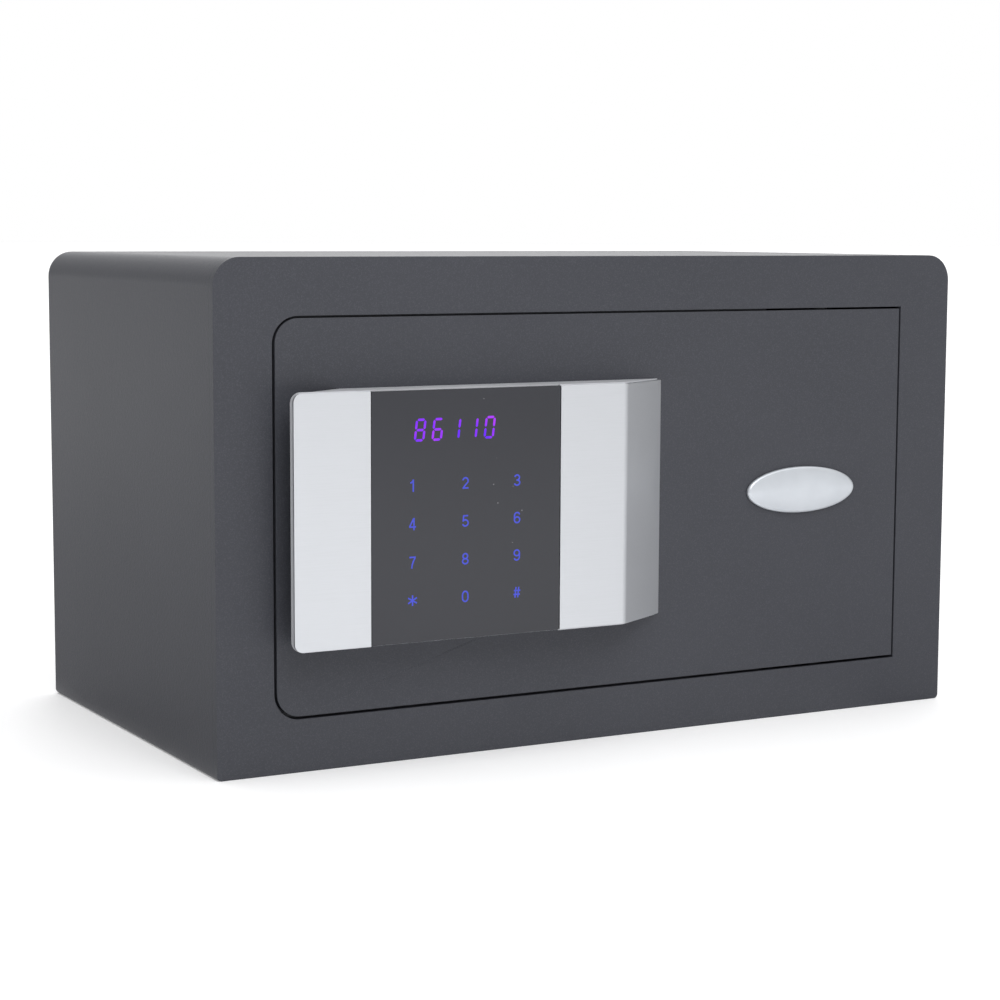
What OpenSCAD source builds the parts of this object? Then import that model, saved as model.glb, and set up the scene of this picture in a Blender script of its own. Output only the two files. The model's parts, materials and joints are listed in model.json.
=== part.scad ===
// Hotel room safe: a steel body with a flush hinged door, a touch keypad console, motor driven
// bolts and an emergency key lock behind a swivel badge.
// Frame: X to the right seen from the front, Y back into the safe, Z up, millimetres.
// Origin: centre of the four base anchor holes, on the underside.

/* [Body] */
// Width of the body across the front
body_w = 350; // [348:1:370]
// Height of the body
body_h = 200; // [199:1:230]
// Depth of the body from the front plate to the back
body_d = 196; // [180:1:320]
// Radius of the two upper corners
corner_r = 11; // [4:0.5:14]
// Radius of the two lower edges
foot_r = 2; // [1:0.5:3]
// Thickness of the front plate
front_t = 4; // [4:0.5:5]
// Thickness of the shell, base and back sheets
shell_t = 2; // [1.5:0.5:2.5]

/* [Door] */
// Width of the door opening
opening_w = 300; // [298:0.5:301]
// Height of the door opening
opening_h = 156.6; // [155:0.1:158]
// Offset of the opening's centre from the middle of the body
opening_x = -1.1; // [-2:0.1:0]
// Height of the opening's centre over the base
opening_z = 99.3; // [98.5:0.1:100]
// Gap at the left and under the closed door
door_gap = 1.2; // [1.1:0.1:1.5]
// Gap over the closed door and on its hinge side
hinge_gap = 0.9; // [0.9:0.1:1.5]
// Thickness of the door plate
door_t = 4; // [4:0.5:5]
// Radius of the door's two left corners
door_corner_r = 9.6; // [4:0.2:12]

/* [Hinge] */
// Distance from the door's right edge to the hinge axis
hinge_inset = 38.3; // [37:0.1:40]
// Distance from the door's front face back to the hinge axis
hinge_depth = 8.25; // [8.25:0.05:8.5]
// Diameter of the hinge pins
pin_d = 6; // [5:0.5:6]

/* [Console] */
// Height of the keypad console
console_h = 99.4; // [96:0.2:104]
// Height of the console's centre over the middle of the door opening
console_rise = 0.3; // [0:0.1:1]
// Distance that the console stands out from the door
console_depth = 15.5; // [14:0.5:18]
// Width of the flat front of the console
console_flat_w = 147.1; // [143:0.1:149]
// Width of the sloping right end of the console
console_slope_w = 26.2; // [24:0.2:30]
// Width of the left trim plate
trim_left_w = 32.1; // [30:0.1:34]
// Width of the touch panel
panel_w = 83.8; // [82:0.1:85]
// Radius of the console's two left corners
console_corner_r = 4.2; // [3:0.2:7]

/* [Bolts] */
// Diameter of the two locking bolts
bolt_d = 18; // [14:0.5:18]
// Distance between the bolts
bolt_pitch = 70; // [66:1:72]
// Travel of the bolts
bolt_travel = 18; // [12:0.5:18]

/* [Emergency lock] */
// Distance from the hinge axis to the lock axis
lock_offset = 25.7; // [24:0.1:27]
// Turn of the emergency key in degrees
key_turn = 107; // [90:1:107]

/* [Badge] */
// Width of the badge
badge_w = 56; // [50:1:58]
// Height of the badge
badge_h = 20; // [18:0.5:24]

/* [Anchors] */
// Diameter of the anchor holes
anchor_d = 10; // [6:0.5:12]
// Distance between anchor holes across the width
anchor_x = 220; // [160:5:240]
// Distance between base anchor holes front to back
anchor_y = 100; // [60:5:100]

/* [Hidden] */
$fn = 72;

// Colours
powder_grey = "#4b4e53";
inner_grey = "#54575c";
zinc = "#b9bcc0";
brushed = "#cfd2d6";
silver_paint = "#a9abb0";
gloss_black = "#1b1c20";
board_green = "#1f5a3a";
nylon_white = "#e6e4dc";
mat_black = "#26272b";
brass = "#c2a25a";
signal_red = "#b3262b";

// Planes of the body
front_y = -body_d / 2;
back_y = body_d / 2;
border_y = front_y + front_t;
wall_x = body_w / 2 - shell_t;
flange_w = 12;

// Opening and door edges
open_x0 = opening_x - opening_w / 2;
open_x1 = opening_x + opening_w / 2;
open_z0 = opening_z - opening_h / 2;
open_z1 = opening_z + opening_h / 2;
door_x0 = open_x0 + door_gap;
door_x1 = open_x1 - hinge_gap;
door_z0 = open_z0 + door_gap;
door_z1 = open_z1 - hinge_gap;
inside_y = front_y + door_t;

// Stop frame behind the opening and bolt keeper behind its left border
stop_t = 2;
stop_lip = 6;
stop_edge = 13;
stop_hinge_gap = 30;
keeper_t = 2;
keeper_x = open_x0 - 4.9;
keeper_reach = 30;
keeper_flange = 8;
keeper_h = 108;
keeper_slot = bolt_d + 2;

// Hinge axis, brackets on the body and lugs on the door
hinge_x = door_x1 - hinge_inset;
hinge_y = front_y + hinge_depth;
pin_r = pin_d / 2;
pin_play = 0.05;
bracket_t = 8;
bracket_w = 24;
bracket_d = 12;
bracket_gap = 2;
washer_r = 4.1;
washer_play = 0.1;
lug_h = 13.6;
lug_r = 7;
lug_leaf_t = 2.5;
lug_leaf_w = 31;
lug_edge = 0.3;
pin_setback = 1;

// Inner cover over the lock works
cover_t = 1.2;
cover_depth = 36;
cover_r = 4;
cover_x0 = door_x0 + 8.9;
cover_x1 = hinge_x + 0.3;
cover_z0 = opening_z - 59;
cover_z1 = opening_z + 59;
cover_y = inside_y + cover_depth;
cover_in_y = cover_y - cover_t;
post_r = 4;
post_rise = 52.5;
post_xs = [cover_x0 + 16, cover_x1 - 10];
post_hole_l = 10;
cover_screw_r = 1.5;
cover_screw_l = 8;
cover_head_r = 3;
cover_head_t = 1.8;
cover_play = 0.3;
screw_play = 0.1;

// Cross slot in the pan heads, its length as a share of the head's radius
cross_w = 0.8;
cross_share = 0.7;

// Bolts, carriage and rack
bolt_r = bolt_d / 2;
bolt_y = inside_y + 16;
bolt_zs = [opening_z + bolt_pitch / 2, opening_z - bolt_pitch / 2];
bolt_tip_x = cover_x0 - 1.5;
bolt_l = bolt_travel + 18.5;
guide_t = 3;
guide_x = cover_x0 + 4;
guide_h = 94;
guide_reach = 29;
guide_foot = 15;
guide_foot_t = 2.5;
carriage_x = bolt_tip_x + bolt_l;
carriage_t = 6;
carriage_w = 16;
carriage_h = 87;
bolt_screw_r = 3;
bolt_screw_l = 12;
bolt_head_r = 5.7;
bolt_head_t = 4;
carriage_ear = 2;

// Pinion and rack, module 1
gear_m = 1;
teeth = 14;
pressure = 20;
backlash = 0.08;
rack_addendum = 0.8;
rack_dedendum = 1.25 * gear_m;
rack_sink = 0.5;
pitch_r = gear_m * teeth / 2;
base_r = pitch_r * cos(pressure);
tip_r = pitch_r + gear_m;
root_r = pitch_r - gear_m;
pinion_x = carriage_x + 40;
pinion_y = bolt_y + 2;
pinion_z = opening_z - 8.8;
pinion_w = 9;
rack_line_y = pinion_y - pitch_r;
rack_back_y = rack_line_y - 7;
rack_lead = 2.5 * PI * gear_m;
rack_x0 = carriage_x + carriage_t;
rack_l = bolt_travel + 78;
rack_teeth = 12;
rack_flange_t = 3;
rack_flange_h = 20;
rack_flange_z = opening_z - 14;
rack_flange_y = bolt_y + carriage_w / 2 - 2;
rack_guide_x = rack_x0 + 66;
rack_guide_l = 12;
slide_wall = 3;
slide_play = 0.2;

// Gear motor over the pinion
motor_r = 12.4;
gearbox_l = 20;
can_r = motor_r - 0.6;
can_l = 26;
can_cap_r = 5;
can_cap_l = 2;
motor_z = pinion_z + 15;
motor_plate_t = 2.5;
motor_plate_w = 28;
motor_plate_out = 11;
motor_foot_t = 2.5;
motor_foot_rise = 22;
motor_boss_r = 4;
motor_screw_r = 1.5;
motor_head_r = 2.75;
motor_head_t = 2;
motor_hole_xs = [pinion_x - 8.5, pinion_x + 8.5];
shaft_r = 2;

// Emergency link and lock
lock_x = hinge_x - lock_offset;
lock_z = opening_z;
barrel_r = 8;
plug_r = 4.5;
plug_play = 0.05;
plug_recess = 0.1;
barrel_l = 30;
plug_l = 31.9;
keyway_w = 1.6;
keyway_h = 6.8;
keyway_l = 20;
keyway_ward = 1.2;
nut_af = 22;
nut_t = 4;
cam_t = 3;
cam_w = 6;
cam_l = 14;
cam_end = 48;
cam_rest = cam_end + key_turn;
cam_hub_r = 5;
cam_y = front_y + plug_recess + plug_l;
cam_head_r = 2.5;
cam_head_t = 1.5;
link_t = 2;
link_h = 6;
link_y = cover_in_y - 3.3;
link_z = lock_z + 18;
link_tab_x = lock_x + 12.7;
link_tab_t = 3;
link_tab_rise = 6.5;
link_tab_d = 6.9;
link_guide_x = lock_x - 44;
link_guide_l = 10;
link_guide_front = 2.5;

// Console profile, seen from above
console_x0 = door_x0 + 0.8;
console_x1 = console_x0 + console_flat_w;
console_x2 = console_x1 + console_slope_w;
console_z0 = opening_z + console_rise - console_h / 2;
console_z1 = console_z0 + console_h;
console_y = front_y - console_depth;
console_wall = 2;
grip_t = 3.4;
grip_w = 9.1;
grip_slope_w = 17.2;
trim_t = 1;
trim_inset = 0.4;
panel_t = 2;
panel_recess = 0.2;
panel_y = console_y + panel_recess;
panel_gap = 0.3;
panel_play = 0.1;
panel_x0 = console_x0 + trim_left_w + panel_gap;
panel_x1 = panel_x0 + panel_w;
panel_ledge = 5;
fold_angle = atan2(console_depth, console_slope_w);
fold_r = 5;
fold_steps = 6;
hollow_y = panel_y + panel_t + 1.5;
hollow_side = 4;
hollow_slope = 6;
boss_r = 4;
boss_l = console_depth - panel_recess - panel_t - 1.2;
boss_xs = [console_x0 + 34, console_x1 - 18.6];
boss_zs = [opening_z - 37.5, opening_z + 37.5];
console_screw_r = 2;
console_screw_l = door_t + 6;
console_hole_l = 8;
console_head_r = 3.5;
console_head_t = 2.4;

// Keypad and display boards behind the touch panel
touch_board_t = 1.6;
touch_board_z = [console_z0 + 8, console_z0 + 72];
display_z = [console_z0 + 73.5, console_z0 + 94];
display_x = [panel_x0 + 13, panel_x0 + 61];
display_t = 7;

// Ribbon cable from the touch board to the control board
ribbon_x = panel_x0 + 71.8;
ribbon_z0 = console_z0 + 11;
ribbon_w = 10;
ribbon_t = 0.8;
ribbon_bend = 3;
ribbon_bend_y = inside_y + 6;
ribbon_end = 1;
ribbon_slot_w = 3;
ribbon_slot_end = 1;

// Control board
board_x0 = carriage_x + 106;
board_w = 70;
board_h = 48;
board_z0 = cover_z0 + 7.7;
board_t = 1.6;
standoff_r = 2.5;
standoff_h = 4;
standoff_edge = 4;
socket_w = 6;
socket_d = 5.4;
socket_end = 2;

// Battery holder, four AA cells and the sliding cover
cell_r = 7.1;
cell_l = 50.5;
cell_pitch = 15.2;
cell_nub_r = 2.7;
cell_nub_h = 1;
cell_play = 0.1;
holder_wall = 1.5;
holder_w = 64;
holder_h = 58;
holder_d = 17.5;
holder_x0 = board_x0;
holder_z0 = cover_z0 + 2.7;
holder_y = cover_in_y - holder_d - 0.3;
hatch_play = 0.1;
hatch_t = 1.5;
hatch_w = 64;
hatch_h = 56;
hatch_x0 = holder_x0 + 1;
hatch_z0 = holder_z0;
hatch_travel = 62;
hatch_lap = 2;
rib_count = 3;
rib_x = 6;
rib_pitch = 3;
rib_size = 1;
rib_inset = 18;
rail_t = 1;
rail_w = 1.7;
rail_lip = 2;
rail_play = 0.3;
rail_over = [3, 1];

// Reset button
reset_x = cover_x1 - 25;
reset_z = cover_z0 + 19.7;
reset_r = 3;
reset_out = 2;
reset_l = 13.5;
reset_body = 12;
reset_body_d = 12.8;
reset_floor = 1;
reset_play = 0.1;

// Badge and its stud
badge_t = 1.2;
badge_dome = 1;
badge_play = 0.2;
badge_back = front_y - badge_play;
badge_x = hinge_x - 13.6;
badge_z = opening_z;
badge_pivot = 20;
badge_steps = 2;
badge_bevel = 1.2;
ellipse_n = 60;
stud_r = 2;
stud_tail = 3;
clip_y = inside_y + 0.8;
clip_t = 0.8;
clip_r = 4;

// Floor mat
mat_t = 3;
mat_edge = 2;
mat_hole_r = 12;

// ---- Helpers ----

// Sheet parallel to the front: the 2D shape's axes become X and Z
module sheet_y(y, t) {
    translate([0, y + t, 0]) rotate([90, 0, 0]) linear_extrude(t) children();
}

// Block between two corners
module block(a, b) {
    translate(a) cube(b - a);
}

module rod_x(x0, x1, y, z, r) {
    translate([x0, y, z]) rotate([0, 90, 0]) cylinder(h = x1 - x0, r = r);
}

module rod_y(y0, y1, x, z, r) {
    translate([x, y0, z]) rotate([-90, 0, 0]) cylinder(h = y1 - y0, r = r);
}

module rod_z(z0, z1, x, y, r) {
    translate([x, y, z0]) cylinder(h = z1 - z0, r = r);
}

function corner_points(c, r) = r > 0 ? [c[0] + r * c[1], c[0] + r * c[2]] : [c[0]];

// Rectangle with its own radius at each corner: lower left, lower right, upper right, upper left
module panel(x0, x1, z0, z1, r) {
    corners = [
        [[x0, z0], [0, 1], [1, 0]],
        [[x1, z0], [-1, 0], [0, 1]],
        [[x1, z1], [0, -1], [-1, 0]],
        [[x0, z1], [1, 0], [0, -1]]
    ];
    polygon([for (i = [0:3]) each corner_points(corners[i], r[i])]);
    for (i = [0:3])
        if (r[i] > 0)
            translate(corners[i][0] + r[i] * (corners[i][1] + corners[i][2])) circle(r[i]);
}

// ---- Body ----

module body_outline(inset) {
    top_r = max(corner_r - inset, 0);
    low_r = max(foot_r - inset, 0);
    panel(-body_w / 2 + inset, body_w / 2 - inset, inset, body_h - inset, [low_r, low_r, top_r, top_r]);
}

module front_plate() {
    opening_r = door_corner_r + door_gap;
    color(powder_grey) sheet_y(front_y, front_t) difference() {
        body_outline(0);
        panel(open_x0, open_x1, open_z0, open_z1, [opening_r, 0, 0, opening_r]);
    }
}

module shell_wrap() {
    slot_x = body_w / 2 - shell_t - flange_w;
    color(powder_grey) sheet_y(border_y, body_d - front_t) difference() {
        body_outline(0);
        body_outline(shell_t);
        translate([-slot_x, -1]) square([2 * slot_x, shell_t + 2]);
    }
}

module base_plate() {
    slot_x = body_w / 2 - shell_t - flange_w;
    color(powder_grey) difference() {
        block([-slot_x, border_y, 0], [slot_x, back_y, shell_t]);
        for (x = [-1, 1], y = [-1, 1])
            rod_z(-1, shell_t + 1, x * anchor_x / 2, y * anchor_y / 2, anchor_d / 2);
    }
}

module back_plate() {
    color(powder_grey) difference() {
        sheet_y(back_y - shell_t, shell_t) body_outline(shell_t);
        for (x = [-1, 1])
            rod_y(back_y - shell_t - 1, back_y + 1, x * anchor_x / 2, body_h / 2, anchor_d / 2);
    }
}

module door_stop_frame() {
    color(powder_grey) sheet_y(border_y, stop_t) difference() {
        panel(open_x0 - stop_edge, hinge_x - stop_hinge_gap, open_z0 - stop_edge, open_z1 + stop_edge,
              [0, 0, 0, 0]);
        panel(open_x0 + stop_lip, hinge_x, open_z0 + stop_lip, open_z1 - stop_lip, [0, 0, 0, 0]);
    }
}

module bolt_keeper() {
    y0 = border_y + stop_t;
    z0 = opening_z - keeper_h / 2;
    z1 = opening_z + keeper_h / 2;
    color(zinc) difference() {
        union() {
            block([keeper_x - keeper_flange, y0, z0], [keeper_x + keeper_t, y0 + keeper_t, z1]);
            block([keeper_x, y0, z0], [keeper_x + keeper_t, y0 + keeper_reach, z1]);
        }
        for (z = bolt_zs)
            block([keeper_x - 1, bolt_y - keeper_slot / 2, z - keeper_slot / 2],
                  [keeper_x + keeper_t + 1, bolt_y + keeper_slot / 2, z + keeper_slot / 2]);
    }
}

module hinge_bracket(z0) {
    color(zinc) difference() {
        block([hinge_x - bracket_w / 2, border_y, z0],
              [hinge_x + bracket_w / 2, border_y + bracket_d, z0 + bracket_t]);
        rod_z(z0 - 1, z0 + bracket_t + 1, hinge_x, hinge_y, pin_r + pin_play);
    }
}

module hinge_bracket_upper() {
    hinge_bracket(open_z1 + bracket_gap);
}

module hinge_bracket_lower() {
    hinge_bracket(open_z0 - bracket_gap - bracket_t);
}

module hinge_washer(z0, z1) {
    color(nylon_white) difference() {
        rod_z(z0, z1, hinge_x, hinge_y, washer_r);
        rod_z(z0 - 1, z1 + 1, hinge_x, hinge_y, pin_r + washer_play);
    }
}

module hinge_washer_upper() {
    hinge_washer(door_z1 - lug_edge + washer_play, open_z1 + bracket_gap);
}

module hinge_washer_lower() {
    hinge_washer(open_z0 - bracket_gap, door_z0 + lug_edge - washer_play);
}

module floor_mat() {
    x1 = wall_x - mat_edge;
    color(mat_black) difference() {
        block([-x1, border_y + stop_t + mat_edge, shell_t],
              [x1, back_y - shell_t - mat_edge, shell_t + mat_t]);
        for (x = [-1, 1], y = [-1, 1])
            rod_z(shell_t - 1, shell_t + mat_t + 1, x * anchor_x / 2, y * anchor_y / 2, mat_hole_r);
    }
}

// ---- Door ----

module door_plate() {
    color(powder_grey) difference() {
        sheet_y(front_y, door_t)
            panel(door_x0, door_x1, door_z0, door_z1, [door_corner_r, 0, 0, door_corner_r]);
        for (x = boss_xs, z = boss_zs)
            rod_y(front_y - 1, inside_y + 1, x, z, console_screw_r + 2 * screw_play);
        rod_y(front_y - 1, inside_y + 1, lock_x, lock_z, barrel_r);
        rod_y(front_y - 1, inside_y + 1, badge_x + badge_pivot, badge_z, stud_r + pin_play);
        block([ribbon_x - ribbon_slot_w / 2, front_y - 1, ribbon_z0 - ribbon_slot_end],
              [ribbon_x + ribbon_slot_w / 2, inside_y + 1, ribbon_z0 + ribbon_w + ribbon_slot_end]);
    }
}

// Knuckle round the pin, with a leaf welded to the door
module hinge_lug(z0) {
    color(zinc) difference() {
        union() {
            block([hinge_x - lug_leaf_w + lug_r, inside_y, z0],
                  [hinge_x + lug_r, inside_y + lug_leaf_t, z0 + lug_h]);
            block([hinge_x - lug_r, inside_y, z0], [hinge_x + lug_r, hinge_y, z0 + lug_h]);
            intersection() {
                rod_z(z0, z0 + lug_h, hinge_x, hinge_y, lug_r);
                block([hinge_x - lug_r, hinge_y - 1, z0], [hinge_x + lug_r, hinge_y + lug_r, z0 + lug_h]);
            }
        }
        rod_z(z0 - 1, z0 + lug_h + 1, hinge_x, hinge_y, pin_r);
    }
}

module hinge_lug_upper() {
    hinge_lug(door_z1 - lug_edge - lug_h);
}

module hinge_lug_lower() {
    hinge_lug(door_z0 + lug_edge);
}

module hinge_pin_upper() {
    z1 = open_z1 + bracket_gap + bracket_t - pin_setback;
    color(zinc) rod_z(door_z1 - lug_edge - lug_h, z1, hinge_x, hinge_y, pin_r);
}

module hinge_pin_lower() {
    z0 = open_z0 - bracket_gap - bracket_t + pin_setback;
    color(zinc) rod_z(z0, door_z0 + lug_edge + lug_h, hinge_x, hinge_y, pin_r);
}

module cover_outline(inset) {
    r = cover_r - inset;
    panel(cover_x0 + inset, cover_x1 - inset, cover_z0 + inset, cover_z1 - inset, [r, r, r, r]);
}

module inner_cover() {
    color(inner_grey) difference() {
        sheet_y(inside_y, cover_depth) cover_outline(0);
        sheet_y(inside_y - 1, cover_depth - cover_t + 1) cover_outline(cover_t);
        for (z = bolt_zs) rod_x(cover_x0 - 1, cover_x0 + cover_t + 1, bolt_y, z, bolt_r + cover_play);
        for (x = post_xs, z = [-1, 1])
            rod_y(cover_in_y - 1, cover_y + 1, x, opening_z + z * post_rise, cover_screw_r + screw_play);
        rod_y(cover_in_y - 1, cover_y + 1, reset_x, reset_z, reset_r + cover_play);
        block([hatch_x0 + hatch_lap, cover_in_y - 1, hatch_z0 + hatch_lap],
              [hatch_x0 + hatch_w - 2 * hatch_lap, cover_y + 1, hatch_z0 + hatch_h - hatch_lap]);
    }
}

module cover_posts() {
    color(zinc) for (x = post_xs, z = [-1, 1]) difference() {
        rod_y(inside_y, cover_in_y, x, opening_z + z * post_rise, post_r);
        rod_y(cover_in_y - post_hole_l, cover_in_y + 1, x, opening_z + z * post_rise, cover_screw_r);
    }
}

// Pan head screw along Y: the head's back lies on y, and the shank runs toward the front
module screw_y(x, z, y, shank_r, shank_l, head_r, head_t) {
    long = head_r * cross_share;
    half = cross_w / 2;
    rod_y(y - shank_l, y, x, z, shank_r);
    difference() {
        rod_y(y, y + head_t, x, z, head_r);
        block([x - long, y + head_t / 2, z - half], [x + long, y + head_t + 1, z + half]);
        block([x - half, y + head_t / 2, z - long], [x + half, y + head_t + 1, z + long]);
    }
}

module cover_screws() {
    color(zinc) for (x = post_xs, z = [-1, 1])
        screw_y(x, opening_z + z * post_rise, cover_y, cover_screw_r, cover_screw_l,
                cover_head_r, cover_head_t);
}

module bolt_guide() {
    z0 = opening_z - guide_h / 2;
    z1 = opening_z + guide_h / 2;
    color(zinc) difference() {
        union() {
            block([guide_x, inside_y, z0], [guide_x + guide_t, inside_y + guide_reach, z1]);
            block([guide_x, inside_y, z0], [guide_x + guide_foot, inside_y + guide_foot_t, z1]);
        }
        for (z = bolt_zs) rod_x(guide_x - 1, guide_x + guide_t + 1, bolt_y, z, bolt_r + pin_play);
    }
}

module rack_guide() {
    z0 = pinion_z - slide_wall;
    z1 = pinion_z + pinion_w + slide_wall;
    color(nylon_white) difference() {
        block([rack_guide_x, inside_y, z0], [rack_guide_x + rack_guide_l, rack_line_y + slide_wall, z1]);
        block([rack_guide_x - 1, rack_back_y - slide_play, pinion_z - slide_play],
              [rack_guide_x + rack_guide_l + 1, rack_line_y, pinion_z + pinion_w + slide_play]);
    }
}

module link_guide() {
    color(nylon_white) difference() {
        block([link_guide_x, link_y - link_guide_front, link_z - slide_wall],
              [link_guide_x + link_guide_l, cover_in_y, link_z + link_h + slide_wall]);
        block([link_guide_x - 1, link_y - slide_play, link_z - slide_play],
              [link_guide_x + link_guide_l + 1, link_y + link_t + slide_play,
               link_z + link_h + slide_play]);
    }
}

module gear_motor() {
    can_z0 = motor_z + gearbox_l;
    can_z1 = can_z0 + can_l;
    color(zinc) {
        rod_z(motor_z, can_z0, pinion_x, pinion_y, motor_r);
        rod_z(can_z0, can_z1, pinion_x, pinion_y, can_r);
        rod_z(can_z1, can_z1 + can_cap_l, pinion_x, pinion_y, can_cap_r);
    }
}

module motor_bracket() {
    x0 = pinion_x - motor_plate_w / 2;
    x1 = pinion_x + motor_plate_w / 2;
    z0 = motor_z - motor_plate_t;
    color(zinc) difference() {
        union() {
            block([x0, inside_y, z0], [x1, pinion_y + motor_plate_out, motor_z]);
            block([x0, inside_y, z0], [x1, inside_y + motor_foot_t, motor_z + motor_foot_rise]);
        }
        rod_z(z0 - 1, motor_z + 1, pinion_x, pinion_y, motor_boss_r);
        for (x = motor_hole_xs) rod_z(z0 - 1, motor_z + 1, x, pinion_y, motor_screw_r + screw_play);
    }
}

module motor_screws() {
    z1 = motor_z - motor_plate_t;
    color(zinc) for (x = motor_hole_xs) {
        rod_z(z1 - motor_head_t, z1, x, pinion_y, motor_head_r);
        rod_z(z1, motor_z, x, pinion_y, motor_screw_r);
    }
}

// Control board with the ribbon's socket; each part is [x, z, width, height, depth] on the board
module control_board() {
    y0 = inside_y + standoff_h;
    y1 = y0 + board_t;
    parts = [
        [10, 6, 14, 10, 6], [30, 8, 12, 12, 4], [50, 6, 10, 8, 7], [12, 30, 18, 8, 3], [42, 28, 16, 12, 5]
    ];
    color(board_green) {
        block([board_x0, y0, board_z0], [board_x0 + board_w, y1, board_z0 + board_h]);
        block([board_x0 + ribbon_end, y1, ribbon_z0 - socket_end],
              [board_x0 + ribbon_end + socket_w, y1 + socket_d, ribbon_z0 + ribbon_w + socket_end]);
        for (p = parts)
            translate([board_x0 + p[0], y1, board_z0 + p[1]]) cube([p[2], p[4], p[3]]);
    }
}

module board_standoffs() {
    color(nylon_white)
        for (x = [standoff_edge, board_w - standoff_edge], z = [standoff_edge, board_h - standoff_edge])
            rod_y(inside_y, inside_y + standoff_h, board_x0 + x, board_z0 + z, standoff_r);
}

module battery_holder() {
    x1 = holder_x0 + holder_w;
    y1 = holder_y + holder_d;
    z1 = holder_z0 + holder_h;
    color(mat_black) difference() {
        block([holder_x0, holder_y, holder_z0], [x1, y1, z1]);
        block([holder_x0 + holder_wall, holder_y + holder_wall, holder_z0 + holder_wall],
              [x1 - holder_wall, y1 + 1, z1 - holder_wall]);
    }
}

// AA cell number i, standing upright; neighbours point opposite ways
module battery(i) {
    x = holder_x0 + holder_w / 2 + (i - 2.5) * cell_pitch;
    y = holder_y + holder_wall + cell_r + cell_play;
    z = holder_z0 + (holder_h - cell_l) / 2;
    up = i % 2 == 0;
    body_z = up ? z : z + cell_nub_h;
    nub_z = up ? z + cell_l - cell_nub_h : z;
    color(brass) union() {
        rod_z(body_z, body_z + cell_l - cell_nub_h, x, y, cell_r);
        rod_z(nub_z, nub_z + cell_nub_h, x, y, cell_nub_r);
    }
}

module battery_1() {
    battery(1);
}

module battery_2() {
    battery(2);
}

module battery_3() {
    battery(3);
}

module battery_4() {
    battery(4);
}

module battery_rails() {
    x0 = hatch_x0 - hatch_travel - rail_over[0];
    x1 = hatch_x0 + hatch_w + rail_over[1];
    lip_y = cover_y + hatch_play + hatch_t + rail_play;
    low = hatch_z0 - rail_play;
    high = hatch_z0 + hatch_h + rail_play;
    color(inner_grey) {
        block([x0, cover_y, low - rail_w], [x1, lip_y + rail_t, low]);
        block([x0, lip_y, low - rail_w], [x1, lip_y + rail_t, low + rail_lip]);
        block([x0, cover_y, high], [x1, lip_y + rail_t, high + rail_w]);
        block([x0, lip_y, high - rail_lip], [x1, lip_y + rail_t, high + rail_w]);
    }
}

module reset_switch() {
    h = reset_body / 2;
    y0 = cover_in_y - reset_body_d;
    color(mat_black) difference() {
        block([reset_x - h, y0, reset_z - h], [reset_x + h, cover_in_y, reset_z + h]);
        rod_y(y0 + reset_floor, cover_in_y + 1, reset_x, reset_z, reset_r + reset_play);
    }
}

// ---- Console ----

// Console outline with its left corners rounded in the plane of the door
module left_rounding(y0, y1) {
    r = console_corner_r;
    sheet_y(y0, y1 - y0)
        panel(console_x0, console_x2 + 1, console_z0, console_z1, [r, 0, 0, r]);
}

// Line round the rounded fold and down the slope to the door, offset inward
function fold_line(offset) = [
    for (i = [0:fold_steps])
        let (a = fold_angle * i / fold_steps, r = fold_r - offset, back = fold_r * tan(fold_angle / 2))
            [console_x1 - back + r * sin(a), console_y + fold_r - r * cos(a)],
    [console_x2 - offset / sin(fold_angle), front_y]
];

// Outer plan of the housing, one trim thickness behind the visible faces
module housing_plan() {
    polygon(concat([[console_x0, console_y + trim_t]], fold_line(trim_t), [
        [console_x0 + grip_w + grip_slope_w, front_y],
        [console_x0 + grip_w, console_y + grip_t],
        [console_x0, console_y + grip_t]
    ]));
}

// Hollow inside the housing, open toward the door
module housing_hollow_plan() {
    x0 = console_x0 + grip_w + grip_slope_w;
    x1 = console_x2 - hollow_slope;
    polygon([
        [x0 - hollow_side, hollow_y],
        [x1 - (front_y - hollow_y) / tan(fold_angle), hollow_y],
        [x1, front_y + 1],
        [x0 + hollow_side, front_y + 1]
    ]);
}

module upright(z0, z1) {
    translate([0, 0, z0]) linear_extrude(z1 - z0) children();
}

module console_housing() {
    color(silver_paint) difference() {
        union() {
            difference() {
                intersection() {
                    upright(console_z0, console_z1) housing_plan();
                    left_rounding(console_y, front_y + 1);
                }
                upright(console_z0 + console_wall, console_z1 - console_wall) housing_hollow_plan();
            }
            for (x = boss_xs, z = boss_zs) rod_y(front_y - boss_l, front_y, x, z, boss_r);
        }
        block([panel_x0, console_y - 1, console_z0 - 1], [panel_x1, panel_y + panel_t, console_z1 + 1]);
        block([panel_x0 + panel_ledge, console_y, console_z0 + panel_ledge],
              [panel_x1 - panel_ledge, panel_y + panel_t + 2, console_z1 - panel_ledge]);
        for (x = boss_xs, z = boss_zs) rod_y(front_y - console_hole_l, front_y + 1, x, z, console_screw_r);
    }
}

module trim_left() {
    r = console_corner_r - 1;
    color(brushed) sheet_y(console_y, trim_t)
        panel(console_x0, console_x0 + trim_left_w, console_z0 + trim_inset, console_z1 - trim_inset,
              [r, 0, 0, r]);
}

module trim_right() {
    x0 = panel_x1 + panel_play;
    outer = concat([[x0, console_y]], fold_line(0));
    inner = concat([[x0, console_y + trim_t]], fold_line(trim_t));
    n = len(inner);
    color(brushed) upright(console_z0 + trim_inset, console_z1 - trim_inset)
        polygon(concat(outer, [for (i = [1:n]) inner[n - i]]));
}

module touch_panel() {
    color(gloss_black)
        block([panel_x0 + panel_play, panel_y, console_z0 + trim_inset],
              [panel_x1 - panel_play, panel_y + panel_t, console_z1 - trim_inset]);
}

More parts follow.
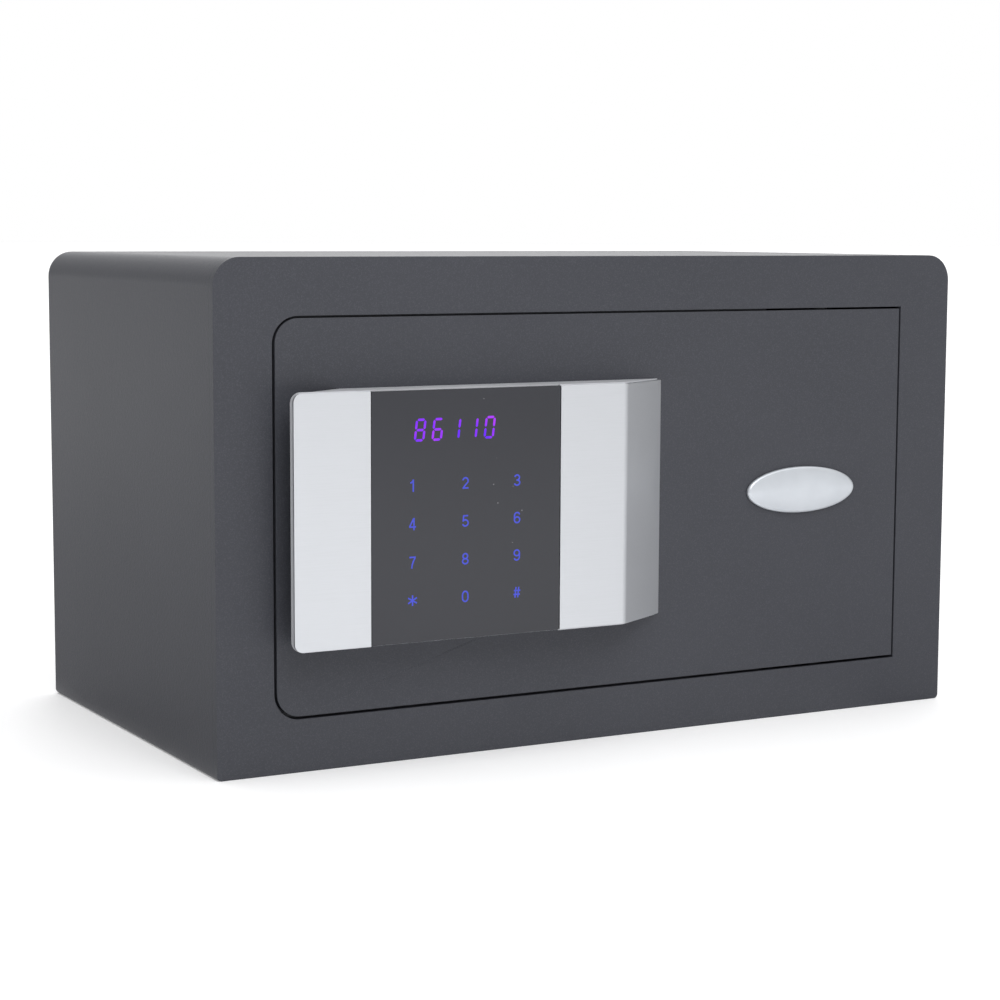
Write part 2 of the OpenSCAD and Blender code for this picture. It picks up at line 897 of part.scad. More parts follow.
module touch_board() {
    color(board_green)
        block([panel_x0 + panel_ledge + 1, panel_y + panel_t, touch_board_z[0]],
              [panel_x1 - panel_ledge - 1, panel_y + panel_t + touch_board_t, touch_board_z[1]]);
}

module display_module() {
    color(nylon_white)
        block([display_x[0], panel_y + panel_t, display_z[0]],
              [display_x[1], panel_y + panel_t + display_t, display_z[1]]);
}

module console_screws() {
    color(zinc) for (x = boss_xs, z = boss_zs)
        screw_y(x, z, inside_y, console_screw_r, console_screw_l, console_head_r, console_head_t);
}

// ---- Emergency lock ----

module lock_barrel() {
    y0 = front_y + plug_recess;
    color(zinc) difference() {
        rod_y(y0, y0 + barrel_l, lock_x, lock_z, barrel_r);
        rod_y(y0 - 1, y0 + barrel_l + 1, lock_x, lock_z, plug_r + plug_play);
    }
}

module lock_nut() {
    color(zinc) difference() {
        translate([lock_x, inside_y, lock_z]) rotate([-90, 0, 0])
            cylinder(h = nut_t, r = nut_af / 2 / cos(30), $fn = 6);
        rod_y(inside_y - 1, inside_y + nut_t + 1, lock_x, lock_z, barrel_r);
    }
}

module key_plug() {
    x0 = lock_x - keyway_w / 2;
    y0 = front_y + plug_recess;
    color(brass) difference() {
        rod_y(y0, y0 + plug_l, lock_x, lock_z, plug_r);
        block([x0, y0 - 1, lock_z - keyway_h / 2], [x0 + keyway_w, y0 + keyway_l, lock_z + keyway_h / 2]);
        block([x0 - keyway_w / 2, y0 - 1, lock_z - keyway_ward / 2],
              [x0 + keyway_w, y0 + keyway_l, lock_z + keyway_ward / 2]);
    }
}

module lock_cam() {
    color(zinc) difference() {
        sheet_y(cam_y, cam_t) translate([lock_x, lock_z]) rotate(cam_rest) {
            circle(cam_hub_r);
            translate([0, -cam_w / 2]) square([cam_l, cam_w]);
            translate([cam_l, 0]) circle(cam_w / 2);
        }
        rod_y(cam_y - 1, cam_y + cam_t + 1, lock_x, lock_z, cover_screw_r);
    }
}

module cam_screw() {
    color(zinc) {
        rod_y(cam_y, cam_y + cam_t, lock_x, lock_z, cover_screw_r);
        rod_y(cam_y + cam_t, cam_y + cam_t + cam_head_t, lock_x, lock_z, cam_head_r);
    }
}

// ---- Ribbon cable ----

module ribbon_cable() {
    y0 = panel_y + panel_t + touch_board_t;
    bend_y = ribbon_bend_y;
    r = ribbon_bend;
    h = ribbon_t / 2;
    color(mat_black) upright(ribbon_z0, ribbon_z0 + ribbon_w) {
        translate([ribbon_x - h, y0]) square([ribbon_t, bend_y - y0]);
        intersection() {
            translate([ribbon_x + r, bend_y]) difference() {
                circle(r + h);
                circle(r - h);
            }
            translate([ribbon_x - h, bend_y]) square(r + h);
        }
        translate([ribbon_x + r, bend_y + r - h]) square([board_x0 + ribbon_end - ribbon_x - r, ribbon_t]);
    }
}

// ---- Bolts and drive ----

module bolt(z) {
    color(zinc) difference() {
        rod_x(bolt_tip_x, carriage_x, bolt_y, z, bolt_r);
        rod_x(carriage_x - bolt_screw_l, carriage_x + 1, bolt_y, z, bolt_screw_r);
    }
}

module bolt_upper() {
    bolt(bolt_zs[0]);
}

module bolt_lower() {
    bolt(bolt_zs[1]);
}

module bolt_carriage() {
    y0 = bolt_y - carriage_w / 2;
    color(zinc) difference() {
        union() {
            block([carriage_x, y0, opening_z - carriage_h / 2],
                  [carriage_x + carriage_t, y0 + carriage_w, opening_z + carriage_h / 2]);
            block([carriage_x, y0, link_z - carriage_ear],
                  [carriage_x + carriage_t, link_y + link_t, link_z + link_h + carriage_ear]);
        }
        for (z = bolt_zs) rod_x(carriage_x - 1, carriage_x + carriage_t + 1, bolt_y, z, bolt_screw_r);
    }
}

module bolt_screws() {
    x1 = carriage_x + carriage_t;
    color(zinc) for (z = bolt_zs) {
        rod_x(carriage_x - bolt_screw_l, x1, bolt_y, z, bolt_screw_r);
        translate([x1, bolt_y, z]) rotate([0, 90, 0]) cylinder(h = bolt_head_t, r = bolt_head_r, $fn = 6);
    }
}

// Rack tooth, widest at its root; the pitch line is y = 0 and the tooth points to +Y
module rack_tooth() {
    half = (PI * gear_m / 2 - backlash) / 2;
    low = half + rack_dedendum * tan(pressure);
    top = half - rack_addendum * tan(pressure);
    foot = -rack_dedendum - rack_sink;
    polygon([[-low, foot], [low, foot], [low, -rack_dedendum], [top, rack_addendum], [-top, rack_addendum],
             [-low, -rack_dedendum]]);
}

module bolt_rack() {
    root_y = rack_line_y - rack_dedendum;
    first = pinion_x - rack_lead;
    color(zinc) {
        upright(pinion_z, pinion_z + pinion_w) {
            translate([rack_x0, rack_back_y]) square([rack_l, root_y - rack_back_y]);
            for (i = [0:rack_teeth - 1]) translate([first + i * PI * gear_m, rack_line_y]) rack_tooth();
        }
        block([rack_x0, rack_back_y, rack_flange_z],
              [rack_x0 + rack_flange_t, rack_flange_y, rack_flange_z + rack_flange_h]);
    }
}

module emergency_link() {
    x0 = carriage_x + carriage_t;
    y1 = link_y + link_t;
    color(zinc) {
        block([x0, link_y, link_z], [link_tab_x + link_tab_t, y1, link_z + link_h]);
        block([link_tab_x, y1 - link_tab_d, lock_z + link_tab_rise],
              [link_tab_x + link_tab_t, y1, link_z + link_h]);
    }
}

// Involute function in degrees and the half angle of a tooth at radius r
function inv(a) = tan(a) * 180 / PI - a;
function half_angle(r) =
    (PI * gear_m / 2 - backlash) / (2 * pitch_r) * 180 / PI + inv(pressure) - inv(acos(base_r / r));

// Points of one pinion tooth that points to +X
function tooth_points() =
    let (steps = 8, radii = [for (i = [0:steps]) base_r + (tip_r - base_r) * i / steps])
    concat(
        [root_r * [cos(-half_angle(base_r)), sin(-half_angle(base_r))]],
        [for (r = radii) r * [cos(-half_angle(r)), sin(-half_angle(r))]],
        [for (i = [0:steps]) let (r = radii[steps - i]) r * [cos(half_angle(r)), sin(half_angle(r))]],
        [root_r * [cos(half_angle(base_r)), sin(half_angle(base_r))]]
    );

module motor_pinion() {
    all_points = [
        for (i = [0:teeth - 1])
            let (a = -90 + i * 360 / teeth)
                for (p = tooth_points()) [p[0] * cos(a) - p[1] * sin(a), p[0] * sin(a) + p[1] * cos(a)]
    ];
    color(brass) upright(pinion_z, pinion_z + pinion_w) translate([pinion_x, pinion_y]) difference() {
        polygon(all_points);
        circle(shaft_r);
    }
}

module output_shaft() {
    color(zinc) rod_z(pinion_z, motor_z, pinion_x, pinion_y, shaft_r);
}

// ---- Badge, battery cover and button ----

function ellipse(a, b) =
    [for (i = [0:ellipse_n - 1]) let (t = 360 * i / ellipse_n) [a * cos(t), b * sin(t)]];

module badge_cover() {
    color(brushed) difference() {
        for (k = [0:badge_steps])
            let (t = badge_t + badge_dome * k / badge_steps, in = badge_bevel * k * k)
                sheet_y(badge_back - t, t) translate([badge_x, badge_z])
                    polygon(ellipse(badge_w / 2 - in, badge_h / 2 - in));
        rod_y(badge_back - badge_t, badge_back + 1, badge_x + badge_pivot, badge_z, stud_r);
    }
}

module badge_stud() {
    color(zinc) rod_y(badge_back - badge_t, inside_y + stud_tail, badge_x + badge_pivot, badge_z, stud_r);
}

module badge_clip() {
    color(zinc) difference() {
        rod_y(clip_y, clip_y + clip_t, badge_x + badge_pivot, badge_z, clip_r);
        rod_y(clip_y - 1, clip_y + clip_t + 1, badge_x + badge_pivot, badge_z, stud_r);
    }
}

module battery_cover() {
    y0 = cover_y + hatch_play;
    color(inner_grey) {
        block([hatch_x0, y0, hatch_z0], [hatch_x0 + hatch_w, y0 + hatch_t, hatch_z0 + hatch_h]);
        for (i = [0:rib_count - 1])
            let (x = hatch_x0 + rib_x + rib_pitch * i)
                block([x, y0 + hatch_t, hatch_z0 + rib_inset],
                      [x + rib_size, y0 + hatch_t + rib_size, hatch_z0 + hatch_h - rib_inset]);
    }
}

module reset_button() {
    color(signal_red) rod_y(cover_y + reset_out - reset_l, cover_y + reset_out, reset_x, reset_z, reset_r);
}

front_plate();
shell_wrap();
base_plate();
back_plate();
door_stop_frame();
bolt_keeper();
hinge_bracket_upper();
hinge_bracket_lower();
hinge_washer_upper();
hinge_washer_lower();
floor_mat();
door_plate();
hinge_lug_upper();
hinge_lug_lower();
hinge_pin_upper();
hinge_pin_lower();
inner_cover();
cover_posts();
cover_screws();
bolt_guide();
rack_guide();
link_guide();
gear_motor();
motor_bracket();
motor_screws();
control_board();
board_standoffs();
battery_holder();
battery_1();
battery_2();
battery_3();
battery_4();
battery_rails();
console_housing();
trim_left();
trim_right();
touch_panel();
touch_board();
display_module();
console_screws();
lock_barrel();
lock_nut();
reset_switch();
ribbon_cable();
bolt_upper();
bolt_lower();
bolt_carriage();
bolt_screws();
bolt_rack();
emergency_link();
motor_pinion();
output_shaft();
badge_cover();
badge_stud();
badge_clip();
key_plug();
lock_cam();
cam_screw();
battery_cover();
reset_button();
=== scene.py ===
import json
import math

import bmesh
import bpy
import mathutils.noise
from mathutils import Matrix, Vector

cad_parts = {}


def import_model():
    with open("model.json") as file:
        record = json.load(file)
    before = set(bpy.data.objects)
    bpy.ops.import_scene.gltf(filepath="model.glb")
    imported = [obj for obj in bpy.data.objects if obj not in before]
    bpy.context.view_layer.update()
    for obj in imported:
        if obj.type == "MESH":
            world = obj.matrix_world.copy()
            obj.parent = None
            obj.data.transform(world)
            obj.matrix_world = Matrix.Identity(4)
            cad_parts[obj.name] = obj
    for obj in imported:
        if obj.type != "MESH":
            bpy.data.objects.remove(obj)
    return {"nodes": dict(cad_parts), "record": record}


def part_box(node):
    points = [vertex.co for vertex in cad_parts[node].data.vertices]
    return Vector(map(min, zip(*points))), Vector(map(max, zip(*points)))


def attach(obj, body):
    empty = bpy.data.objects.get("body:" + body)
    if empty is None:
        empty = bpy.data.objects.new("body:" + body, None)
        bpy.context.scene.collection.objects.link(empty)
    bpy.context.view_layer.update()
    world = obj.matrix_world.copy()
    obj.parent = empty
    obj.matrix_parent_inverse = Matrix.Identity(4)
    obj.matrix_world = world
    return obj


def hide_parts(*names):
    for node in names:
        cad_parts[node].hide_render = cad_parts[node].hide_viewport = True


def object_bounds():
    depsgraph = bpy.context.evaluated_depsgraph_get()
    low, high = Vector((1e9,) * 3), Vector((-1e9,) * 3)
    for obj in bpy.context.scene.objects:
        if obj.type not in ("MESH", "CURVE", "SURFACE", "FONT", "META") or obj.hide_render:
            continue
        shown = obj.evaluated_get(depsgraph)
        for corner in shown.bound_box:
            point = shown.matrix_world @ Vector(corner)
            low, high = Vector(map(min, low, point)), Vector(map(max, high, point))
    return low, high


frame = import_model()
cad_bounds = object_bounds()

# The looks of an in room safe, built round its CAD frame. Lengths are in metres.
MM = 0.001

# Camera, at the photograph's viewing angle: turns in degrees, lens and sensor in millimetres
CAMERA_AT = (-0.502209, -0.918078, 0.210811)
CAMERA_YAW = -28.764
CAMERA_PITCH = -6.616
CAMERA_ROLL = -0.236
CAMERA_LENS = 84.15
CAMERA_SENSOR = 36.0
CAMERA_CLIP = 0.02

# Keypad: rows from the top and columns from the left, in the panel's plane
KEY_ROWS = ("123", "456", "789", "*0#")
KEY_TOP = 111.9 * MM
KEY_ROW_PITCH = 15.0 * MM
KEY_LEFT = -99.1 * MM
KEY_COLUMN_PITCH = 23.2 * MM
NUMERAL_H = 4.8 * MM
NUMERAL_PROUD = 0.02 * MM

# Display: plain digits on seven slanted segments each
DISPLAY_TEXT = "86110"
DIGIT_H = 8.9 * MM
DIGIT_W = 4.6 * MM
DIGIT_PITCH = 7.65 * MM
DIGIT_SLANT = 0.12
SEGMENT_T = 0.95 * MM
SEGMENT_GAP = 0.22 * MM
DISPLAY_LEFT = -97.6 * MM
DISPLAY_Z = 133.4 * MM
SEGMENTS = {
    "0": "abcdef", "1": "bc", "2": "abged", "3": "abgcd", "4": "fgbc",
    "5": "afgcd", "6": "afgedc", "7": "abc", "8": "abcdefg", "9": "abcdfg",
}

# Badge: the shares of its height in the rounded rim and in the dome, and the steps of its mesh
BADGE_RIM = 1.3 * MM
BADGE_ROUND_SHARE = 0.5
BADGE_DOME_SHARE = 0.25
BADGE_DOME_POWER = 0.8
BADGE_DOME_REACH = 0.999
BADGE_RIM_TURN = 15
BADGE_DOME_STEPS = 9
BADGE_STEPS = 96

# Felt mat
MAT_CORNER = 3.0 * MM
MAT_WANDER = 0.25 * MM
MAT_STEP = 4.0 * MM
MAT_LONG_EDGE = 3 * MAT_STEP
MAT_CUTS = 3
MAT_HOLE_R = 12.0 * MM
MAT_LUMP = 0.35 * MM
MAT_EDGE = 0.7 * MM
MAT_EDGE_ANGLE = 60
WANDER_SCALE = 60
WANDER_X_LAYER = 0
WANDER_Y_LAYER = 7
LUMP_SCALE = 40
LUMP_LAYER = 3
ANCHOR_X = 110.0 * MM
ANCHOR_Y = 50.0 * MM

# Battery cells and their contacts
CELL_EDGE = 0.06 * MM
CELL_EDGE_ANGLE = 30
CELL_BAND_START = 0.68
SLEEVE, STEEL, GREY_BAND, INSULATOR = range(4)
HOLDER_WALL = 1.5 * MM
WIRE_R = 0.35 * MM
SPRING_R = 4.6 * MM
SPRING_TURNS = 2.5
SPRING_TAPER = 0.45
SPRING_STEPS = 80
PLATE_R = 5.2 * MM
PLATE_BULGE = 0.2 * MM
PLATE_T = 0.4 * MM
DIMPLE_EDGE_R = 2.6 * MM
DIMPLE_SLOPE_R = 2.0 * MM
DIMPLE_TOP_R = 1.2 * MM
DIMPLE_SLOPE_SHARE = 0.7

# Studio light from the world. A ramp is the part of an axis, from -1 to 1, where the light changes.
WORLD_LIGHT = 0.60
WORLD_RIGHT = 0.06
RIGHT_RAMP = (0.62, 0.97)
WORLD_LEFT_SHARE = 0.15
LEFT_RAMP = (-0.9, -0.35)
WORLD_BACK = 1.45
BACK_RAMP = (0.45, 0.8)
BACK_SIDE_RAMP = (0.05, 0.4)
WORLD_TOP = 0.9
TOP_RAMP = (0.25, 0.9)
BACKDROP = 1.0

# Softboxes, the floor and the reflection cards on it
KEY_AT = (-0.2, -0.97, 0.95)
KEY_AIM = (0, -0.05, 0.12)
KEY_SIZE = 0.7
KEY_POWER = 5.2
LEFT_AT = (-1.8, -0.3, 1.0)
LEFT_AIM = (0, 0, 0.1)
LEFT_SIZE = 1.2
LEFT_POWER = 0.6
FLOOR_R = 30
FLOOR_STEPS = 96
FLOOR_DROP = 0.05 * MM
FLOOR_LIGHT_UP = 0.15
CARD_RIGHT = ((0.14, -0.4), (1.3, 0.5))
CARD_LEFT = ((-0.95, -0.3), (-0.18, 0.85))
CARD_LIFT = 0.5 * MM

# Linear colours
WHITE = (1, 1, 1, 1)
BLACK = (0, 0, 0, 1)
POWDER_DARK = (0.042, 0.044, 0.053, 1)
POWDER_LIGHT = (0.047, 0.049, 0.059, 1)
POWDER_GRAIN = (0.078, 0.081, 0.094, 1)
INNER_DARK = (0.095, 0.099, 0.108, 1)
INNER_LIGHT = (0.115, 0.119, 0.130, 1)
ZINC_DARK = (0.50, 0.51, 0.53, 1)
ZINC_LIGHT = (0.68, 0.69, 0.71, 1)
BRUSHED_DARK = (0.630, 0.646, 0.672, 1)
BRUSHED_LIGHT = (0.655, 0.671, 0.700, 1)
SILVER_DARK = (0.55, 0.56, 0.59, 1)
SILVER_LIGHT = (0.63, 0.64, 0.67, 1)
PANEL_DARK = (0.008, 0.009, 0.015, 1)
PANEL_LIGHT = (0.011, 0.012, 0.019, 1)
DUST = (0.16, 0.16, 0.17, 1)
BOARD_DARK = (0.010, 0.085, 0.040, 1)
BOARD_LIGHT = (0.030, 0.190, 0.095, 1)
NYLON_DARK = (0.66, 0.65, 0.60, 1)
NYLON_LIGHT = (0.78, 0.77, 0.72, 1)
SHELL_DARK = (0.62, 0.62, 0.60, 1)
SHELL_LIGHT = (0.74, 0.74, 0.71, 1)
BLACK_DARK = (0.018, 0.018, 0.020, 1)
BLACK_LIGHT = (0.032, 0.032, 0.035, 1)
FELT_DARK = (0.016, 0.016, 0.018, 1)
FELT_LIGHT = (0.060, 0.060, 0.064, 1)
BRASS_DARK = (0.55, 0.40, 0.17, 1)
BRASS_LIGHT = (0.76, 0.60, 0.30, 1)
LABEL_DARK = (0.030, 0.075, 0.190, 1)
LABEL_LIGHT = (0.045, 0.105, 0.250, 1)
BAND_DARK = (0.42, 0.43, 0.45, 1)
BAND_LIGHT = (0.52, 0.53, 0.55, 1)
RED_DARK = (0.42, 0.020, 0.028, 1)
RED_LIGHT = (0.58, 0.035, 0.045, 1)
RIBBON_DARK = (0.20, 0.20, 0.21, 1)
RIBBON_LIGHT = (0.36, 0.36, 0.38, 1)
BADGE_DARK = (0.60, 0.63, 0.67, 1)
BADGE_LIGHT = (0.64, 0.67, 0.71, 1)
BLUE_DIM = (0.070, 0.092, 0.62, 1)
BLUE_GLOW = (0.085, 0.105, 0.74, 1)
INDIGO_GLOW = (0.16, 0.020, 1.0, 1)
VIOLET_GLOW = (0.44, 0.040, 1.0, 1)
CARD_DARK = (0.44, 0.44, 0.45, 1)
CARD_LIGHT = (0.50, 0.50, 0.51, 1)
FLOOR_DARK = (0.86, 0.86, 0.865, 1)
FLOOR_LIGHT = (0.90, 0.90, 0.905, 1)


# ---- Material helpers ----

# Texture scales are in repeats per metre, and a noise's next number is its detail.
# Sockets of Blender's Mix node
MIX_FACTOR = 0
MIX_FLOATS = (2, 3)
MIX_COLORS = (6, 7)
MIX_COLOR_OUT = 2


def material(name, **sockets):
    """A new Principled material; sockets are named with _ for spaces."""
    made = bpy.data.materials.new(name)
    made.use_nodes = True
    shader = made.node_tree.nodes["Principled BSDF"]
    for socket, value in sockets.items():
        shader.inputs[socket.replace("_", " ")].default_value = value
    return made


def node(made, kind, inputs=None, **settings):
    """Adds a node to a material or world; an input is a value or the socket that feeds it."""
    new = made.node_tree.nodes.new(kind)
    for key, value in settings.items():
        setattr(new, key, value)
    for key, value in (inputs or {}).items():
        if isinstance(value, bpy.types.NodeSocket):
            made.node_tree.links.new(value, new.inputs[key])
        else:
            new.inputs[key].default_value = value
    return new


def place(made, stretch=(1, 1, 1)):
    """The point in the part's own frame, scaled by stretch."""
    inputs = {"Vector": node(made, "ShaderNodeTexCoord").outputs["Object"], "Scale": stretch}
    return node(made, "ShaderNodeMapping", inputs).outputs["Vector"]


def noise(made, scale, detail=2.0, stretch=(1, 1, 1)):
    inputs = {"Vector": place(made, stretch), "Scale": scale, "Detail": detail, "Roughness": 0.55}
    return node(made, "ShaderNodeTexNoise", inputs).outputs["Fac"]


def cells(made, scale):
    """The distance to the nearest of many scattered points."""
    inputs = {"Vector": place(made), "Scale": scale}
    return node(made, "ShaderNodeTexVoronoi", inputs).outputs["Distance"]


def spread(made, value, low, high, start=0.3, end=0.7):
    """value from start to end becomes low to high."""
    inputs = {"Value": value, "From Min": start, "From Max": end, "To Min": low, "To Max": high}
    return node(made, "ShaderNodeMapRange", inputs).outputs["Result"]


def mix(made, share, first, second):
    """The colour that lies share of the way from first to second."""
    inputs = {MIX_FACTOR: share, MIX_COLORS[0]: first, MIX_COLORS[1]: second}
    return node(made, "ShaderNodeMix", inputs, data_type="RGBA").outputs[MIX_COLOR_OUT]


def tint(made, value, dark, light):
    """A colour from dark to light as value runs from 0.3 to 0.7."""
    return mix(made, spread(made, value, 0, 1), dark, light)


def math_of(made, operation, first, second):
    return node(made, "ShaderNodeMath", {0: first, 1: second}, operation=operation).outputs[0]


def sum_of(made, first, second, weight=1.0):
    """first plus weight times second."""
    return math_of(made, "ADD", first, math_of(made, "MULTIPLY", second, weight))


def dress(made, color, roughness, height, depth):
    """Feeds colour, roughness and a bump of the given depth to the shader."""
    shader = made.node_tree.nodes["Principled BSDF"]
    relief = node(made, "ShaderNodeBump", {"Height": height, "Distance": depth})
    made.node_tree.links.new(color, shader.inputs["Base Color"])
    made.node_tree.links.new(roughness, shader.inputs["Roughness"])
    made.node_tree.links.new(relief.outputs["Normal"], shader.inputs["Normal"])
    return made


# ---- Materials, one function per slot of the record ----

def powder_coat():
    """Fine-textured powder coat: an orange-peel swell under small raised grains."""
    made = material("powder_coat_paint", Specular_IOR_Level=0.3)
    peel = noise(made, 650, 2)
    grit = noise(made, 2300, 2)
    plain = tint(made, noise(made, 9, 3), POWDER_DARK, POWDER_LIGHT)
    color = mix(made, spread(made, grit, 0.0, 0.6, 0.50, 0.72), plain, POWDER_GRAIN)
    height = sum_of(made, peel, grit, 0.8)
    return dress(made, color, spread(made, grit, 0.40, 0.50), height, 0.08 * MM)


def inner_coat():
    """The lighter, smoother coat on the sheet metal inside."""
    made = material("inner_coat_paint")
    peel = noise(made, 420, 2)
    color = tint(made, noise(made, 12, 3), INNER_DARK, INNER_LIGHT)
    return dress(made, color, spread(made, noise(made, 60, 2), 0.38, 0.48), peel, 0.05 * MM)


def zinc_steel():
    made = material("zinc_plate", Metallic=1.0)
    spangle = cells(made, 260)
    color = tint(made, sum_of(made, noise(made, 45, 3), spangle, 0.12), ZINC_DARK, ZINC_LIGHT)
    roughness = spread(made, noise(made, 180, 3), 0.26, 0.40)
    return dress(made, color, roughness, noise(made, 900, 2), 0.02 * MM)


def brushed_plate():
    """Faint grain along X, as on the console's trim plates."""
    made = material("brushed_aluminium", Metallic=1.0)
    grain = noise(made, 70, 4, (1, 60, 60))
    hair = noise(made, 300, 3, (1, 20, 20))
    shade = sum_of(made, grain, noise(made, 28, 2), 0.25)
    color = tint(made, shade, BRUSHED_DARK, BRUSHED_LIGHT)
    height = sum_of(made, grain, hair, 0.6)
    return dress(made, color, spread(made, hair, 0.36, 0.42), height, 0.006 * MM)


def silver_plastic():
    made = material("silver_paint", Metallic=0.35)
    flake = noise(made, 3800, 1)
    shade = sum_of(made, noise(made, 20, 2), flake, 0.2)
    color = tint(made, shade, SILVER_DARK, SILVER_LIGHT)
    return dress(made, color, spread(made, flake, 0.36, 0.46), noise(made, 700, 2), 0.02 * MM)


def black_gloss():
    """Polished acrylic with a few specks of dust."""
    made = material("touch_acrylic", Coat_Weight=0.3, Coat_Roughness=0.06, Specular_IOR_Level=0.45)
    speck = math_of(made, "LESS_THAN", cells(made, 210), 0.055)
    few = math_of(made, "GREATER_THAN", noise(made, 47, 1), 0.57)
    dust = math_of(made, "MULTIPLY", speck, few)
    color = mix(made, dust, tint(made, noise(made, 15, 2), PANEL_DARK, PANEL_LIGHT), DUST)
    roughness = spread(made, noise(made, 30, 3), 0.10, 0.18)
    return dress(made, color, roughness, noise(made, 40, 2), 0.02 * MM)


def circuit_board():
    """Solder mask with straight copper tracks under it."""
    made = material("solder_mask", Coat_Weight=0.3)
    inputs = {"Vector": place(made), "Scale": 260.0, "Mortar Size": 0.09, "Row Height": 0.5,
              "Brick Width": 2.2}
    tracks = node(made, "ShaderNodeTexBrick", inputs).outputs["Fac"]
    color = mix(made, tracks, BOARD_DARK, BOARD_LIGHT)
    return dress(made, color, spread(made, noise(made, 300, 2), 0.25, 0.4), tracks, 0.04 * MM)


def moulded(name, dark, light, low=0.38, high=0.52):
    """Moulded plastic with a fine eroded surface."""
    made = material(name)
    spark = noise(made, 1500, 2)
    color = tint(made, noise(made, 30, 3), dark, light)
    return dress(made, color, spread(made, spark, low, high), spark, 0.03 * MM)


def felt():
    """Needled felt: short fibres in all directions with a soft sheen."""
    made = material("needled_felt", Sheen_Weight=0.35, Sheen_Roughness=0.5, Specular_IOR_Level=0.1)
    across = noise(made, 420, 4, (6, 1, 1))
    along = noise(made, 420, 4, (1, 6, 1))
    fibre = sum_of(made, across, along)
    shade = sum_of(made, noise(made, 900, 3), fibre, 0.15)
    color = tint(made, shade, FELT_DARK, FELT_LIGHT)
    return dress(made, color, spread(made, across, 0.85, 0.98), fibre, 0.5 * MM)


def lock_brass():
    made = material("machined_brass", Metallic=1.0)
    turned = noise(made, 800, 2, (1, 6, 1))
    color = tint(made, noise(made, 160, 3), BRASS_DARK, BRASS_LIGHT)
    return dress(made, color, spread(made, turned, 0.22, 0.36), turned, 0.02 * MM)


def cell_label():
    made = material("shrink_sleeve", Coat_Weight=0.5, Coat_Roughness=0.15)
    return dress(made, tint(made, noise(made, 60, 2), LABEL_DARK, LABEL_LIGHT),
                 spread(made, noise(made, 220, 2), 0.25, 0.38), noise(made, 160, 2), 0.03 * MM)


def flat_cable():
    """Flat cable: the wires lie side by side across its width."""
    made = material("ribbon_cable_skin")
    inputs = {"Vector": place(made), "Scale": 125.0}
    wires = node(made, "ShaderNodeTexWave", inputs, bands_direction="Z").outputs["Fac"]
    color = mix(made, wires, RIBBON_DARK, RIBBON_LIGHT)
    return dress(made, color, spread(made, noise(made, 300), 0.4, 0.55), wires, 0.3 * MM)


def badge_silver():
    """Satin silver of the badge."""
    made = material("badge_silver", Metallic=0.55)
    satin = noise(made, 2400, 2)
    color = tint(made, noise(made, 90, 2), BADGE_DARK, BADGE_LIGHT)
    return dress(made, color, spread(made, satin, 0.30, 0.38), satin, 0.01 * MM)


def glow(name, low, high, strength, scale):
    """Light shining through print, a little uneven in colour."""
    made = material(name, Emission_Strength=strength, Specular_IOR_Level=0.2)
    lit = tint(made, noise(made, scale, 1), low, high)
    shader = made.node_tree.nodes["Principled BSDF"]
    made.node_tree.links.new(lit, shader.inputs["Emission Color"])
    unlit = mix(made, 0.97, lit, BLACK)
    fine = noise(made, 900, 1)
    return dress(made, unlit, spread(made, fine, 0.3, 0.4), fine, 0.01 * MM)


SLEEVE_BAND = moulded("sleeve_band", BAND_DARK, BAND_LIGHT, 0.25, 0.35)
SLOT_MATERIALS = {
    "powder_coat": powder_coat(),
    "inner_coat": inner_coat(),
    "zinc_steel": zinc_steel(),
    "brushed_plate": brushed_plate(),
    "silver_plastic": silver_plastic(),
    "black_gloss": black_gloss(),
    "circuit_board": circuit_board(),
    "display_plastic": moulded("display_shell", SHELL_DARK, SHELL_LIGHT),
    "nylon": moulded("nylon_mould", NYLON_DARK, NYLON_LIGHT),
    "black_plastic": moulded("black_mould", BLACK_DARK, BLACK_LIGHT),
    "felt": felt(),
    "lock_brass": lock_brass(),
    "cell_label": cell_label(),
    "button_red": moulded("red_mould", RED_DARK, RED_LIGHT),
    "ribbon": flat_cable(),
}


# ---- CAD nodes ----

# Width of the edge round: the usual one, and each node that has its own
EDGE = 0.35 * MM
EDGE_ANGLE = 40
WELD_GAP = 0.001 * MM
EDGES = {
    "front_plate": 0.6 * MM, "door_plate": 0.45 * MM, "shell_wrap": 0.12 * MM,
    "console_housing": 0.5 * MM, "trim_left": 0.4 * MM, "trim_right": 0.35 * MM,
    "touch_panel": 0.15 * MM, "inner_cover": 0.3 * MM,
    "bolt_upper": 0.8 * MM, "bolt_lower": 0.8 * MM,
}
# Nodes that keep their sharp edges
SHARP = ("touch_board", "display_module", "motor_pinion", "bolt_rack", "ribbon_cable")


def round_edges(part, width, segments, angle):
    """Rounds the edges that turn by more than angle degrees, as a modifier."""
    rounding = part.modifiers.new("edge_round", "BEVEL")
    rounding.width = width
    rounding.segments = segments
    rounding.limit_method = "ANGLE"
    rounding.angle_limit = math.radians(angle)


def soften(part, width):
    """Rounds the sharp edges of a CAD node, without touching its mesh."""
    weld = part.modifiers.new("weld", "WELD")
    weld.merge_threshold = WELD_GAP
    round_edges(part, width, 2, EDGE_ANGLE)
    shading = part.modifiers.new("face_normals", "WEIGHTED_NORMAL")
    shading.mode = "FACE_AREA"
    shading.weight = 100


def dress_nodes():
    for row in frame["record"]["subparts"]:
        part = frame["nodes"][row["node"]]
        part.data.materials.clear()
        part.data.materials.append(SLOT_MATERIALS[row["material_slot"]])
        if row["node"] not in SHARP:
            soften(part, EDGES.get(row["node"], EDGE))


# ---- Mesh helpers ----

def mesh_data(name, mesh):
    """The mesh of a bmesh, which is then freed."""
    data = bpy.data.meshes.new(name)
    mesh.to_mesh(data)
    mesh.free()
    return data


